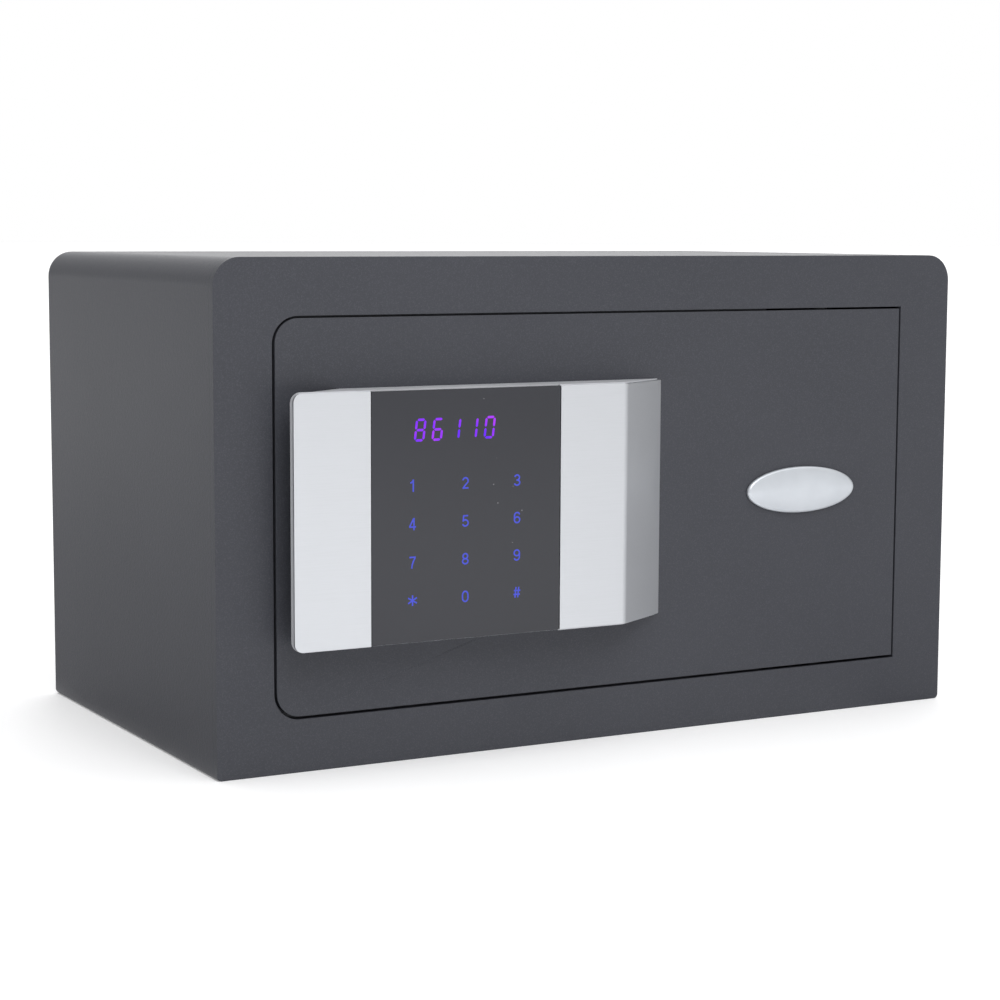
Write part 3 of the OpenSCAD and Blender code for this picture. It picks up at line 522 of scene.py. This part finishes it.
def add_object(name, data):
    made = bpy.data.objects.new(name, data)
    bpy.context.scene.collection.objects.link(made)
    return made


def piece(name, mesh, body, slot, *materials):
    """A new object from a bmesh, riding on body."""
    data = mesh_data(name, mesh)
    for each in materials:
        data.materials.append(each)
    made = add_object(name, data)
    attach(made, body)
    return made


def prism(mesh, outline, y_front, y_back):
    """Adds a flat outline of (x, z) points, anticlockwise seen from the front, between two y."""
    front = [mesh.verts.new((x, y_front, z)) for x, z in outline]
    back = [mesh.verts.new((x, y_back, z)) for x, z in outline]
    mesh.faces.new(front)
    mesh.faces.new(list(reversed(back)))
    for i in range(len(outline)):
        j = (i + 1) % len(outline)
        mesh.faces.new((front[j], front[i], back[i], back[j]))


# ---- Keypad numerals ----

# Strokes in a box 1 high and GLYPH_W wide: lists of points on each stroke's middle line. The
# star's arms reach a little past the box.
GLYPH_W = 0.66
STROKE = 0.128
SHARPEST_MITRE = 0.5
SAME_POINT = 1e-6


def arc(x, z, rx, rz, first, last, steps=20):
    """Points on an ellipse between two angles in degrees, anticlockwise where last is larger."""
    turns = [math.radians(first + (last - first) * i / steps) for i in range(steps + 1)]
    return [(x + rx * math.cos(t), z + rz * math.sin(t)) for t in turns]


def six():
    return [arc(0.34, 0.66, 0.25, 0.26, 20, 180) + [(0.085, 0.50), (0.085, 0.32)],
            arc(0.335, 0.32, 0.25, 0.24, 0, 360)]


def eight():
    return [arc(0.33, 0.71, 0.215, 0.21, 0, 360), arc(0.33, 0.29, 0.25, 0.21, 0, 360)]


GLYPHS = {
    "0": [arc(0.33, 0.62, 0.25, 0.30, 0, 180) + arc(0.33, 0.38, 0.25, 0.30, 180, 360)
          + [(0.58, 0.62)]],
    "1": [[(0.40, 1.0), (0.40, 0.0)], [(0.13, 0.73), (0.27, 0.77), (0.38, 0.93)]],
    "2": [arc(0.33, 0.67, 0.24, 0.25, 170, -35) + [(0.33, 0.34), (0.15, 0.12)],
          [(0.06, 0.078), (0.61, 0.078)]],
    "3": [arc(0.32, 0.71, 0.22, 0.21, 165, -90) + [(0.25, 0.50)],
          [(0.25, 0.50)] + arc(0.32, 0.29, 0.255, 0.21, 90, -165)],
    "4": [[(0.43, 0.95), (0.08, 0.31)], [(0.03, 0.27), (0.64, 0.27)], [(0.46, 1.0), (0.46, 0.0)]],
    "5": [[(0.58, 0.92), (0.17, 0.92), (0.12, 0.45)],
          arc(0.32, 0.33, 0.26, 0.255, 145, -160)],
    "6": six(),
    "7": [[(0.05, 0.92), (0.61, 0.92)],
          [(0.57, 0.88), (0.42, 0.62), (0.31, 0.34), (0.26, 0.0)]],
    "8": eight(),
    "9": [[(GLYPH_W - x, 1 - z) for x, z in stroke] for stroke in six()],
    "*": [[(0.33, 0.94), (0.33, 0.06)], [(-0.07, 0.73), (0.73, 0.27)],
          [(-0.07, 0.27), (0.73, 0.73)]],
    "#": [[(0.03, 0.33), (0.63, 0.33)], [(0.07, 0.65), (0.67, 0.65)],
          [(0.17, 0.06), (0.27, 0.94)], [(0.43, 0.06), (0.53, 0.94)]],
}


def stroke_sides(line, ring):
    """At each point of a line, half a unit of width to its left, mitred at the bends."""
    count = len(line)
    sides = []
    for i, here in enumerate(line):
        before = line[i - 1] if ring or i else here
        after = line[(i + 1) % count] if ring or i < count - 1 else here
        first = (here - before).normalized() if before != here else (after - here).normalized()
        second = (after - here).normalized() if after != here else first
        both = first + second
        normal = Vector((-both.y, both.x)).normalized()
        mitre = max(SHARPEST_MITRE, normal.dot(Vector((-first.y, first.x))))
        sides.append(normal / 2 / mitre)
    return sides


def stroke_band(points, width, y_front, y_back):
    """A flat band along a line of (x, z) points; a line that ends where it starts is a ring."""
    ring = (Vector(points[0]) - Vector(points[-1])).length < SAME_POINT
    line = [Vector(p) for p in (points[:-1] if ring else points)]
    mesh = bmesh.new()
    rims = []
    for here, side in zip(line, stroke_sides(line, ring)):
        edges = (here + side * width, here - side * width)
        rims.append([mesh.verts.new((p.x, y, p.y)) for p in edges for y in (y_front, y_back)])
    pairs = list(zip(rims, rims[1:])) + ([(rims[-1], rims[0])] if ring else [])
    for a, b in pairs:
        for i, j in ((0, 2), (2, 3), (3, 1), (1, 0)):
            mesh.faces.new((a[i], b[i], b[j], a[j]))
    if not ring:
        for end in (rims[0], rims[-1]):
            mesh.faces.new((end[0], end[2], end[3], end[1]))
    bmesh.ops.recalc_face_normals(mesh, faces=mesh.faces)
    return mesh


def union(objects):
    """One mesh round all the objects, which are then removed."""
    first, *rest = objects
    for other in rest:
        joining = first.modifiers.new("join", "BOOLEAN")
        joining.operation = "UNION"
        joining.solver = "EXACT"
        joining.object = other
    bpy.context.view_layer.update()
    depsgraph = bpy.context.evaluated_depsgraph_get()
    mesh = bpy.data.meshes.new_from_object(first.evaluated_get(depsgraph))
    for made in objects:
        data = made.data
        bpy.data.objects.remove(made)
        bpy.data.meshes.remove(data)
    return mesh


def glyph(sign, x, z, height, y_front, y_back):
    """The mesh of one sign, centred on (x, z)."""
    strokes = []
    for stroke in GLYPHS[sign]:
        points = [(x + height * (px - GLYPH_W / 2), z + height * (pz - 0.5)) for px, pz in stroke]
        band = stroke_band(points, STROKE * height, y_front, y_back)
        strokes.append(add_object("stroke", mesh_data("stroke", band)))
    return union(strokes)


def keypad_numerals(panel_y):
    """The lit signs of the keypad, printed on the touch panel."""
    joined = bmesh.new()
    for row, signs in enumerate(KEY_ROWS):
        for column, sign in enumerate(signs):
            x, z = KEY_LEFT + column * KEY_COLUMN_PITCH, KEY_TOP - row * KEY_ROW_PITCH
            mesh = glyph(sign, x, z, NUMERAL_H, panel_y - NUMERAL_PROUD, panel_y + NUMERAL_PROUD)
            joined.from_mesh(mesh)
            bpy.data.meshes.remove(mesh)
    lit = glow("key_light", BLUE_DIM, BLUE_GLOW, 0.95, 600)
    piece("keypad_numerals", joined, "door", "black_gloss", lit)


# ---- Display digits ----

def segment(mesh, start, end, left, y_front, y_back):
    """One segment from start to end, with pointed ends, slanted like the whole digit."""
    along = (Vector(end) - Vector(start)).normalized()
    across = Vector((-along.y, along.x)) * SEGMENT_T / 2
    tip = along * SEGMENT_GAP
    first, last = Vector(start) + tip, Vector(end) - tip
    shoulder = along * SEGMENT_T / 2
    outline = [first, first + shoulder - across, last - shoulder - across, last,
               last - shoulder + across, first + shoulder + across]
    slanted = [(left + p.x + DIGIT_SLANT * p.y, DISPLAY_Z + p.y) for p in outline]
    prism(mesh, slanted, y_front, y_back)


def display_digits(panel_y):
    """The lit digits of a plain number, printed on the touch panel."""
    w, h = DIGIT_W - SEGMENT_T, (DIGIT_H - SEGMENT_T) / 2
    ends = {
        "a": ((0, h), (w, h)), "g": ((0, 0), (w, 0)), "d": ((0, -h), (w, -h)),
        "f": ((0, 0), (0, h)), "b": ((w, 0), (w, h)),
        "e": ((0, -h), (0, 0)), "c": ((w, -h), (w, 0)),
    }
    joined = bmesh.new()
    for position, digit in enumerate(DISPLAY_TEXT):
        left = DISPLAY_LEFT + position * DIGIT_PITCH
        for name in SEGMENTS[digit]:
            segment(joined, *ends[name], left, panel_y - NUMERAL_PROUD, panel_y + NUMERAL_PROUD)
    lit = glow("digit_light", INDIGO_GLOW, VIOLET_GLOW, 1.0, 170)
    piece("display_digits", joined, "door", "display_plastic", lit)


# ---- Badge ----

def badge_rings(low, high):
    """Rings from the back of the rim to the top of the dome, as (offset from the edge, y)."""
    height, half = high.y - low.y, (high - low) / 2
    shoulder = low.y + (BADGE_DOME_SHARE + BADGE_ROUND_SHARE) * height
    rings = [(0.0, high.y)]
    for degrees in range(0, 91, BADGE_RIM_TURN):
        turn = math.radians(degrees)
        rings.append((-BADGE_RIM * (1 - math.cos(turn)),
                      shoulder - BADGE_ROUND_SHARE * height * math.sin(turn)))
    for step in range(1, BADGE_DOME_STEPS):
        share = step / BADGE_DOME_STEPS
        fall = 1 - math.sin(math.radians(90 * share)) ** BADGE_DOME_POWER
        rings.append((-BADGE_RIM - (half.z - BADGE_RIM) * share * BADGE_DOME_REACH,
                      low.y + BADGE_DOME_SHARE * height * fall))
    return rings


def badge_dome():
    """The plain oval badge: a low dome with a rounded rim and a flat back."""
    low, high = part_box("badge_cover")
    middle, half = (low + high) / 2, (high - low) / 2
    turns = [2 * math.pi * i / BADGE_STEPS for i in range(BADGE_STEPS)]
    mesh = bmesh.new()
    loops = []
    for offset, y in badge_rings(low, high):
        loops.append([mesh.verts.new((middle.x + (half.x + offset) * math.cos(turn), y,
                                      middle.z + (half.z + offset) * math.sin(turn)))
                      for turn in turns])
    for outer, inner in zip(loops, loops[1:]):
        for i in range(BADGE_STEPS):
            j = (i + 1) % BADGE_STEPS
            mesh.faces.new((outer[i], outer[j], inner[j], inner[i]))
    mesh.faces.new(loops[-1])
    mesh.faces.new(list(reversed(loops[0])))
    for face in mesh.faces:
        face.smooth = len(face.verts) == 4
    bmesh.ops.recalc_face_normals(mesh, faces=mesh.faces)
    made = piece("badge_dome", mesh, "badge", "silver_plastic", badge_silver())
    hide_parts("badge_cover")


# ---- Floor mat ----

def ring_points(x, y, radius, steps=48):
    """Points on a circle round (x, y)."""
    turns = [2 * math.pi * i / steps for i in range(steps)]
    return [(x + radius * math.cos(turn), y + radius * math.sin(turn)) for turn in turns]


def wander(x, y, layer):
    """How far a cut edge strays at (x, y)."""
    return MAT_WANDER * mathutils.noise.noise((x * WANDER_SCALE, y * WANDER_SCALE, layer))


def mat_outline(low, high):
    """A rectangle with small rounded corners, a little uneven along its cut edges."""
    inset = MAT_CORNER + MAT_WANDER
    points = []
    corners = ((high.x, high.y), (low.x, high.y), (low.x, low.y), (high.x, low.y))
    for quarter, (cx, cy) in enumerate(corners):
        x = cx - math.copysign(inset, cx - (low.x + high.x) / 2)
        y = cy - math.copysign(inset, cy - (low.y + high.y) / 2)
        turns = [math.radians(a) for a in range(90 * quarter, 90 * quarter + 91, 15)]
        points += [(x + MAT_CORNER * math.cos(t), y + MAT_CORNER * math.sin(t)) for t in turns]
    filled = []
    for start, end in zip(points, points[1:] + points[:1]):
        count = max(1, round(math.dist(start, end) / MAT_STEP))
        filled += [tuple(a + (b - a) * i / count for a, b in zip(start, end))
                   for i in range(count)]
    return [(x + wander(x, y, WANDER_X_LAYER), y + wander(x, y, WANDER_Y_LAYER))
            for x, y in filled]


def floor_felt():
    """The felt mat on the base, with openings round the four anchor holes."""
    low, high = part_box("floor_mat")
    mesh = bmesh.new()
    rims = [mat_outline(low, high)]
    rims += [ring_points(x, y, MAT_HOLE_R)
             for x in (-ANCHOR_X, ANCHOR_X) for y in (-ANCHOR_Y, ANCHOR_Y)]
    edges = []
    for rim in rims:
        verts = [mesh.verts.new((x, y, low.z)) for x, y in rim]
        edges += [mesh.edges.new((a, b)) for a, b in zip(verts, verts[1:] + verts[:1])]
    bmesh.ops.triangle_fill(mesh, edges=edges, use_beauty=True)
    long_edges = [e for e in mesh.edges if e.calc_length() > MAT_LONG_EDGE]
    bmesh.ops.subdivide_edges(mesh, edges=long_edges, cuts=MAT_CUTS, use_grid_fill=True)
    raised = bmesh.ops.extrude_face_region(mesh, geom=list(mesh.faces))
    top = [v for v in raised["geom"] if isinstance(v, bmesh.types.BMVert)]
    for vert in top:
        at = (vert.co.x * LUMP_SCALE, vert.co.y * LUMP_SCALE, LUMP_LAYER)
        vert.co.z = high.z - MAT_LUMP * (0.5 + 0.5 * mathutils.noise.noise(at))
    bmesh.ops.recalc_face_normals(mesh, faces=mesh.faces)
    made = piece("floor_felt", mesh, "carcass", "felt", SLOT_MATERIALS["felt"])
    round_edges(made, MAT_EDGE, 3, MAT_EDGE_ANGLE)
    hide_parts("floor_mat")


# ---- Batteries ----

def lathe(mesh, profile, x, y, steps=48, index=None):
    """Adds a body turned round the vertical line through (x, y). profile is (radius, z) pairs from
    one end on the axis to the other, and index gives each band its material number."""
    loops = []
    for radius, z in profile:
        rim = [(x, y)] if radius < SAME_POINT else ring_points(x, y, radius, steps)
        loops.append([mesh.verts.new((px, py, z)) for px, py in rim])
    for band, (a, b) in enumerate(zip(loops, loops[1:])):
        for i in range(steps):
            j = (i + 1) % steps
            corners = [a[i % len(a)], a[j % len(a)], b[j % len(b)], b[i % len(b)]]
            face = mesh.faces.new(list(dict.fromkeys(corners)))
            face.smooth = True
            face.material_index = index[band] if index else 0
    bmesh.ops.recalc_face_normals(mesh, faces=mesh.faces)


def cell_sketch(length):
    """A cell's outline from its minus end: share of the radius, height, and material of the band
    that starts there. Heights in the two lists are millimetres from that end."""
    minus_end = [(0.0, 0.10, STEEL), (0.62, 0.10, STEEL), (0.66, 0.0, STEEL), (0.86, 0.0, STEEL),
                 (0.93, 0.25, STEEL), (0.95, 0.70, SLEEVE), (0.985, 0.72, SLEEVE),
                 (1.0, 1.0, SLEEVE)]
    plus_end = [(1.0, 2.2, GREY_BAND), (0.985, 1.85, GREY_BAND), (0.90, 1.75, STEEL),
                (0.88, 1.60, INSULATOR), (0.55, 1.60, INSULATOR), (0.50, 1.45, STEEL),
                (0.385, 1.35, STEEL), (0.375, 0.35, STEEL), (0.30, 0.0, STEEL), (0.0, 0.0, STEEL)]
    return ([(share, h * MM, band) for share, h, band in minus_end]
            + [(1.0, CELL_BAND_START * length, GREY_BAND)]
            + [(share, length - h * MM, band) for share, h, band in plus_end])


def cell(number):
    """An AA cell: a steel can in a sleeve, with a grey band near the plus end and a black ring
    round the nub there. Every second cell stands with its plus end up."""
    name = f"battery_{number}"
    low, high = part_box(name)
    up = number % 2 == 0
    radius = (high.x - low.x) / 2
    sketch = cell_sketch(high.z - low.z)
    profile = [(share * radius, low.z + h if up else high.z - h) for share, h, _ in sketch]
    x, y = (low.x + high.x) / 2, (low.y + high.y) / 2
    mesh = bmesh.new()
    lathe(mesh, profile, x, y, index=[band for *_, band in sketch])
    made = piece(f"aa_cell_{number}", mesh, "door", "cell_label", SLOT_MATERIALS["cell_label"],
                 SLOT_MATERIALS["zinc_steel"], SLEEVE_BAND, SLOT_MATERIALS["black_plastic"])
    round_edges(made, CELL_EDGE, 2, CELL_EDGE_ANGLE)
    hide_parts(name)
    holder_low, holder_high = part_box("battery_holder")
    floor_z, roof_z = holder_low.z + HOLDER_WALL, holder_high.z - HOLDER_WALL
    ends = ((floor_z, low.z), (roof_z, high.z))
    minus, plus = ends if up else reversed(ends)
    cell_spring(number, x, y, *minus)
    cell_plate(number, x, y, *plus)


def spring_points(x, y, start_z, end_z):
    """The wire's middle line, from the wide end on the holder to the narrow end at the cell."""
    side = math.copysign(1, end_z - start_z)
    reach = abs(end_z - start_z) - 2 * WIRE_R
    points = []
    for i in range(SPRING_STEPS + 1):
        share = i / SPRING_STEPS
        radius = SPRING_R * (1 - SPRING_TAPER * share)
        angle = 2 * math.pi * SPRING_TURNS * share
        points.append((x + radius * math.cos(angle), y + radius * math.sin(angle),
                       start_z + side * (WIRE_R + reach * share)))
    return points


def cell_spring(number, x, y, start_z, end_z):
    """The coiled spring between the holder and the cell's minus end."""
    points = spring_points(x, y, start_z, end_z)
    curve = bpy.data.curves.new(f"cell_spring_{number}", "CURVE")
    curve.dimensions = "3D"
    curve.bevel_depth = WIRE_R
    curve.bevel_resolution = 3
    curve.use_fill_caps = True
    line = curve.splines.new("POLY")
    line.points.add(len(points) - 1)
    for target, point in zip(line.points, points):
        target.co = (*point, 1)
    curve.materials.append(SLOT_MATERIALS["zinc_steel"])
    spring = add_object(f"cell_spring_{number}", curve)
    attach(spring, "door")


def cell_plate(number, x, y, plate_z, cell_z):
    """The contact plate on the holder, whose dimple meets the cell's plus end."""
    gap = cell_z - plate_z
    t = math.copysign(PLATE_T, gap)
    profile = [(0.0, plate_z), (PLATE_R, plate_z), (PLATE_R + PLATE_BULGE, plate_z + t / 2),
               (PLATE_R, plate_z + t), (DIMPLE_EDGE_R, plate_z + t),
               (DIMPLE_SLOPE_R, plate_z + DIMPLE_SLOPE_SHARE * gap), (DIMPLE_TOP_R, cell_z),
               (0.0, cell_z)]
    mesh = bmesh.new()
    lathe(mesh, profile, x, y, 40)
    piece(f"cell_contact_{number}", mesh, "door", "zinc_steel", SLOT_MATERIALS["zinc_steel"])


# ---- Stage ----

def camera():
    data = bpy.data.cameras.new("camera")
    data.lens = CAMERA_LENS
    data.sensor_width = CAMERA_SENSOR
    data.clip_start = CAMERA_CLIP
    turn = Matrix.Identity(4)
    for angle, axis in ((CAMERA_YAW, "Z"), (CAMERA_PITCH, "X"), (CAMERA_ROLL, "Y"), (90, "X")):
        turn = turn @ Matrix.Rotation(math.radians(angle), 4, axis)
    made = add_object("camera", data)
    made.matrix_world = Matrix.Translation(CAMERA_AT) @ turn
    bpy.context.scene.camera = made


def softbox(name, at, aim, size, power):
    """A square area light at a point, facing another."""
    data = bpy.data.lights.new(name, "AREA")
    data.shape = "SQUARE"
    data.size = size
    data.energy = power
    made = add_object(name, data)
    made.location = at
    made.rotation_euler = (Vector(aim) - Vector(at)).to_track_quat("-Z", "Y").to_euler()
    made.visible_camera = False


def world():
    """A white studio whose light is dimmer at both sides, stronger overhead and stronger behind on
    the right; the backdrop itself is plain white."""
    made = bpy.data.worlds.new("studio")
    made.use_nodes = True
    bpy.context.scene.world = made
    direction = node(made, "ShaderNodeTexCoord").outputs["Generated"]
    axes = node(made, "ShaderNodeSeparateXYZ", {"Vector": direction}).outputs
    right = spread(made, axes["X"], WORLD_LIGHT, WORLD_RIGHT, *RIGHT_RAMP)
    left_share = spread(made, axes["X"], WORLD_LEFT_SHARE, 1.0, *LEFT_RAMP)
    back = spread(made, axes["Y"], 0.0, WORLD_BACK, *BACK_RAMP)
    back_share = spread(made, axes["X"], 0.0, 1.0, *BACK_SIDE_RAMP)
    top = spread(made, axes["Z"], 0.0, WORLD_TOP, *TOP_RAMP)
    sides = math_of(made, "MULTIPLY", right, left_share)
    behind = math_of(made, "MULTIPLY", back, back_share)
    light = math_of(made, "ADD", math_of(made, "ADD", sides, behind), top)
    seen = node(made, "ShaderNodeLightPath").outputs["Is Camera Ray"]
    inputs = {MIX_FACTOR: seen, MIX_FLOATS[0]: light, MIX_FLOATS[1]: BACKDROP}
    strength = node(made, "ShaderNodeMix", inputs, data_type="FLOAT").outputs[0]
    shade = made.node_tree.nodes["Background"]
    made.node_tree.links.new(strength, shade.inputs["Strength"])
    shade.inputs["Color"].default_value = WHITE


def floor():
    made = material("studio_floor", Specular_IOR_Level=0.2, Emission_Color=WHITE,
                    Emission_Strength=FLOOR_LIGHT_UP)
    color = tint(made, noise(made, 2, 2), FLOOR_DARK, FLOOR_LIGHT)
    dress(made, color, spread(made, noise(made, 5), 0.6, 0.7), noise(made, 300, 2), 0.02 * MM)
    mesh = bmesh.new()
    bmesh.ops.create_circle(mesh, cap_ends=True, segments=FLOOR_STEPS, radius=FLOOR_R)
    data = mesh_data("floor", mesh)
    data.materials.append(made)
    plane = add_object("floor", data)
    plane.location.z = cad_bounds[0][2] - FLOOR_DROP


def card(name, low, high):
    """A grey card lying on the floor between two (x, y) corners, seen only in glossy
    reflections."""
    made = material(name + "_paper", Specular_IOR_Level=0.1)
    color = tint(made, noise(made, 90, 2), CARD_DARK, CARD_LIGHT)
    dress(made, color, spread(made, noise(made, 40, 2), 0.8, 0.95), noise(made, 400, 2), 0.2 * MM)
    mesh = bmesh.new()
    bmesh.ops.create_grid(mesh, x_segments=4, y_segments=4, size=0.5)
    data = mesh_data(name, mesh)
    data.materials.append(made)
    sheet = add_object(name, data)
    middle_x, middle_y = (low[0] + high[0]) / 2, (low[1] + high[1]) / 2
    sheet.location = (middle_x, middle_y, cad_bounds[0][2] + CARD_LIFT)
    sheet.scale = (high[0] - low[0], high[1] - low[1], 1)
    sheet.visible_camera = False
    sheet.visible_diffuse = False
    sheet.visible_shadow = False


def stage():
    camera()
    world()
    floor()
    card("card_right", *CARD_RIGHT)
    card("card_left", *CARD_LEFT)
    softbox("key", KEY_AT, KEY_AIM, KEY_SIZE, KEY_POWER)
    softbox("left", LEFT_AT, LEFT_AIM, LEFT_SIZE, LEFT_POWER)
    bpy.context.scene.view_settings.view_transform = "Standard"


dress_nodes()
panel_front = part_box("touch_panel")[0].y
keypad_numerals(panel_front)
display_digits(panel_front)
badge_dome()
floor_felt()
for number in (1, 2, 3, 4):
    cell(number)
stage()
